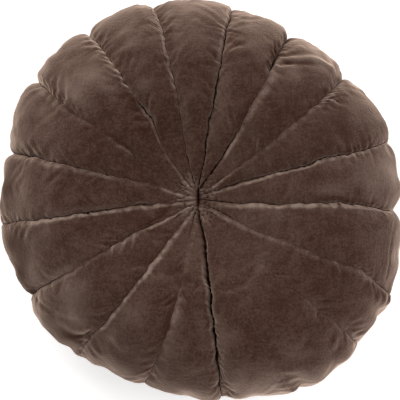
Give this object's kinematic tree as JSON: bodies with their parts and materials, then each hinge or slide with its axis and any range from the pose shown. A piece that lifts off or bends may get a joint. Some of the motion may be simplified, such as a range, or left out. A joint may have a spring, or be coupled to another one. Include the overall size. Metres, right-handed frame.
{
  "type": "flower-shaped cushion",
  "caption": "Round filled velvet cushion sewn in wedge-shaped petals, with channels that run from the scalloped rim to a drawn-in middle.",
  "frame": {"origin": "under the middle of the cushion, on the surface that it lies on", "axes": "+Z up through the cushion from its back to its front, +X to the right and +Y up across its face"},
  "size_m": [0.4496, 0.4502, 0.1271],
  "materials": {
    "velvet": "short cotton velvet pile, dark from straight on and pale at grazing angles"
  },
  "bodies": {
    "root": {"cushion": "velvet"}
  },
  "joints": []
}
